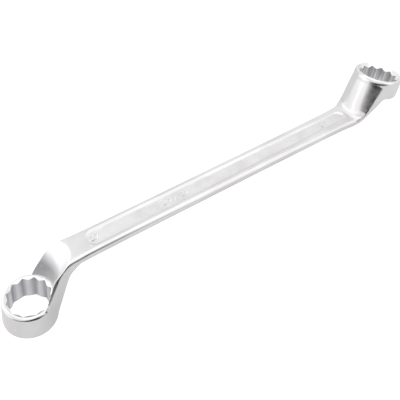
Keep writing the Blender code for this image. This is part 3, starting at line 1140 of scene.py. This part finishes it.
def paint_faces(body, large, small):
    """Gives each face the number of its material."""
    shift = Matrix.Translation((0, 0, PANEL_DEPTH))
    to_large, to_small = ((shift @ ring_place(ring)).inverted() for ring in (large, small))
    for face in body.data.polygons:
        index = PLATING
        if abs(face.center.x) < CENTRE_DISTANCE / 2 - SMALL_PANEL_START:
            if on_panel_floor(face):
                index = PANEL_FLOOR
        elif face.center.x > 0:
            if in_opening(face, small, to_small):
                index = SMALL_OPENING
        elif in_opening(face, large, to_large):
            index = LARGE_OPENING
        elif in_clearing(face, to_large):
            index = CLEARING
        face.material_index = index


def studio_world(scene):
    """White surroundings, a little greyer near the horizon for the metal, and softer on matt surfaces."""
    world = bpy.data.worlds.new("studio_surroundings")
    world.use_nodes = True
    tree = world.node_tree
    rays = add_node(tree, "ShaderNodeLightPath").outputs
    seen_from = add_node(tree, "ShaderNodeTexCoord").outputs["Generated"]
    height = add_node(tree, "ShaderNodeSeparateXYZ", {"Vector": seen_from}).outputs["Z"]
    reflected = between_values(tree, height, *HORIZON_HEIGHTS, *HORIZON_SHADES)
    through = arithmetic(tree, "MAXIMUM", rays["Is Camera Ray"], rays["Is Transmission Ray"])
    matt_or_metal = mixed_value(tree, rays["Is Glossy Ray"], MATT_SHADE, reflected)
    background = tree.nodes["Background"]
    background.inputs["Color"].default_value = (1, 1, 1, 1)
    tree.links.new(mixed_value(tree, through, matt_or_metal, 1.0), background.inputs["Strength"])
    scene.world = world


def floor_material(studio):
    """Matt paper that looks white to the camera, and nearly so to what the metal reflects."""
    sockets = {"Roughness": 1.0, "Emission Color": (1, 1, 1, 1)}
    material, tree, surface = new_material("floor_paper", sockets)
    place = object_place(tree)
    darker = [part * FLOOR_MOTTLING_SHARE for part in studio.floor_colour]
    colour = mixed_colour(tree, noise(tree, place, FLOOR_TONE_NOISE), studio.floor_colour, darker)
    tree.links.new(colour, surface.inputs["Base Color"])
    pulp = noise(tree, place, FLOOR_PULP_NOISE)
    bump = add_node(tree, "ShaderNodeBump", {"Height": pulp, "Distance": FLOOR_PULP_HEIGHT})
    tree.links.new(bump.outputs["Normal"], surface.inputs["Normal"])
    rays = add_node(tree, "ShaderNodeLightPath").outputs
    seen = arithmetic(tree, "MULTIPLY", rays["Is Camera Ray"], FLOOR_GLOW_SEEN)
    reflected = arithmetic(tree, "MULTIPLY", rays["Is Glossy Ray"], FLOOR_GLOW_REFLECTED)
    tree.links.new(arithmetic(tree, "ADD", seen, reflected), surface.inputs["Emission Strength"])
    return material


def add_floor(studio):
    """Plain floor under the lowest point of the frame."""
    bpy.ops.mesh.primitive_plane_add(size=studio.floor_size, location=(0, 0, 0))
    floor = bpy.context.object
    floor.name = "floor"
    floor.data.transform(Matrix.Translation((0, 0, cad_low[2])))
    floor.data.materials.append(floor_material(studio))


def black_cloth():
    """Cloth that is as black as each point's own blackness says, and clear elsewhere."""
    material, tree, surface = new_material("black_cloth", {"Specular IOR Level": 0.0})
    weave = add_node(tree, "ShaderNodeTexNoise", {"Scale": WEAVE_SCALE}).outputs["Fac"]
    tree.links.new(mixed_colour(tree, weave, *CLOTH_SHADES), surface.inputs["Base Color"])
    shade = add_node(tree, "ShaderNodeAttribute", attribute_name="blackness")
    tree.links.new(shade.outputs["Fac"], surface.inputs["Alpha"])
    return material


def add_flag(name, cloth, target, columns, rows):
    """Black cloth with soft ends beside the set, seen only by the metal, which shows it as dark bands."""
    bpy.ops.object.select_all(action="DESELECT")
    bpy.ops.mesh.primitive_grid_add(x_subdivisions=len(columns) - 1, y_subdivisions=len(rows) - 1)
    flag = bpy.context.object
    flag.name = name
    places = []
    blackness = []
    # Rows at the floor's height lie flat on the floor, a painted shade that the metal reflects
    for nearer, height, row_shade in rows:
        for x, y, column_shade in columns:
            places += [x + nearer * (target[0] - x), y + nearer * (target[1] - y), height]
            blackness.append(row_shade * column_shade)
    flag.data.vertices.foreach_set("co", places)
    flag.data.attributes.new("blackness", "FLOAT", "POINT").data.foreach_set("value", blackness)
    flag.data.materials.append(cloth)
    flag.visible_camera = False
    flag.visible_diffuse = False
    flag.visible_shadow = False


def add_softbox(scene, name, place, target, width, height, strength):
    """Soft lamp that faces its target, with its brightness given as what a mirror would show."""
    lamp = bpy.data.lights.new(name, "AREA")
    lamp.shape = "RECTANGLE"
    lamp.size = width
    lamp.size_y = height
    lamp.energy = strength * math.pi * width * height
    softbox = bpy.data.objects.new(name, lamp)
    softbox.location = place
    softbox.rotation_euler = (Vector(place) - Vector(target)).to_track_quat("Z", "Y").to_euler()
    softbox.visible_camera = False
    scene.collection.objects.link(softbox)


def add_camera(scene, studio):
    """Camera at the photograph's viewing angle."""
    azimuth, elevation, roll = studio.azimuth, studio.elevation, studio.roll
    flat = math.cos(elevation)
    back = Vector((flat * math.cos(azimuth), flat * math.sin(azimuth), math.sin(elevation)))
    level = Vector((-math.sin(azimuth), math.cos(azimuth), 0))
    upright = back.cross(level)
    right = math.cos(roll) * level + math.sin(roll) * upright
    up = math.cos(roll) * upright - math.sin(roll) * level
    place = Vector(CAMERA_TARGET) + back * CAMERA_DISTANCE + right * CAMERA_SIDE + up * CAMERA_UP
    camera = bpy.data.objects.new("camera", bpy.data.cameras.new("camera"))
    scene.collection.objects.link(camera)
    turn = Matrix((right, up, back)).transposed().to_4x4()
    camera.matrix_world = Matrix.Translation(place) @ turn
    camera.data.lens = studio.focal_length
    camera.data.sensor_width = SENSOR_WIDTH
    camera.data.shift_x, camera.data.shift_y = CAMERA_LENS_SHIFT
    camera.data.clip_start = CAMERA_NEAREST
    scene.camera = camera


class SPANNER_OT_body(bpy.types.Operator):
    """Builds the forged body over its CAD node and plates it."""

    bl_idname = "spanner.body"
    bl_label = "Forged body"

    def execute(self, context):
        finish = context.scene.spanner_finish
        sizes = context.scene.spanner_sizes
        large = large_ring(sizes)
        small = small_ring(sizes)
        body = build_body(sizes, large, small)
        polish = polish_group()
        broach = broach_group()
        body.data.materials.clear()
        for material in (
            plating_material("satin_plating", finish, polish),
            plating_material("milled_shaded_plating", finish, polish, large),
            panel_material(finish, polish),
            opening_material("large_broached_painted_light_and_shade", finish, polish, broach, large),
            opening_material("small_broached_painted_light_and_shade", finish, polish, broach, small),
        ):
            body.data.materials.append(material)
        paint_faces(body, large, small)
        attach(body, "root")
        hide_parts(BODY_NODE)
        return {"FINISHED"}


class SPANNER_OT_stage(bpy.types.Operator):
    """Adds the floor, the light and the camera."""

    bl_idname = "spanner.stage"
    bl_label = "Stage"

    def execute(self, context):
        scene = context.scene
        studio = scene.spanner_studio
        studio_world(scene)
        add_floor(studio)
        cloth = black_cloth()
        columns = [
            (*(DARK_CARD_DISTANCE * direction(azimuth)), shade) for azimuth, shade in DARK_CARD_SHADES
        ]
        add_flag("dark_card", cloth, (0, 0), columns, DARK_CARD_ROWS)
        add_flag("edge_flag", cloth, (LARGE_CENTRE[0], 0), EDGE_FLAG_COLUMNS, EDGE_FLAG_ROWS)
        for softbox in SOFTBOXES:
            add_softbox(scene, *softbox)
        add_camera(scene, studio)
        return {"FINISHED"}


class SPANNER_PT_panel(bpy.types.Panel):
    """Lists the spanner's operators and settings."""

    bl_label = "Ring spanner"
    bl_idname = "SPANNER_PT_panel"
    bl_space_type = "VIEW_3D"
    bl_region_type = "UI"
    bl_category = "Ring spanner"

    def draw(self, context):
        scene = context.scene
        for settings in (scene.spanner_sizes, scene.spanner_finish, scene.spanner_studio):
            for name in settings.__annotations__:
                self.layout.prop(settings, name)
        for operator in (SPANNER_OT_body, SPANNER_OT_stage):
            self.layout.operator(operator.bl_idname)


CLASSES = (
    ForgingSizes,
    ChromeFinish,
    StudioSettings,
    SPANNER_OT_body,
    SPANNER_OT_stage,
    SPANNER_PT_panel,
)


def register():
    for kind in CLASSES:
        bpy.utils.register_class(kind)
    bpy.types.Scene.spanner_sizes = bpy.props.PointerProperty(type=ForgingSizes)
    bpy.types.Scene.spanner_finish = bpy.props.PointerProperty(type=ChromeFinish)
    bpy.types.Scene.spanner_studio = bpy.props.PointerProperty(type=StudioSettings)


def unregister():
    del bpy.types.Scene.spanner_studio
    del bpy.types.Scene.spanner_finish
    del bpy.types.Scene.spanner_sizes
    for kind in reversed(CLASSES):
        bpy.utils.unregister_class(kind)


def main():
    register()
    bpy.context.scene.view_settings.view_transform = "Standard"
    bpy.ops.object.select_all(action="DESELECT")
    bpy.ops.spanner.body()
    bpy.ops.spanner.stage()


if __name__ == "__main__":
    main()
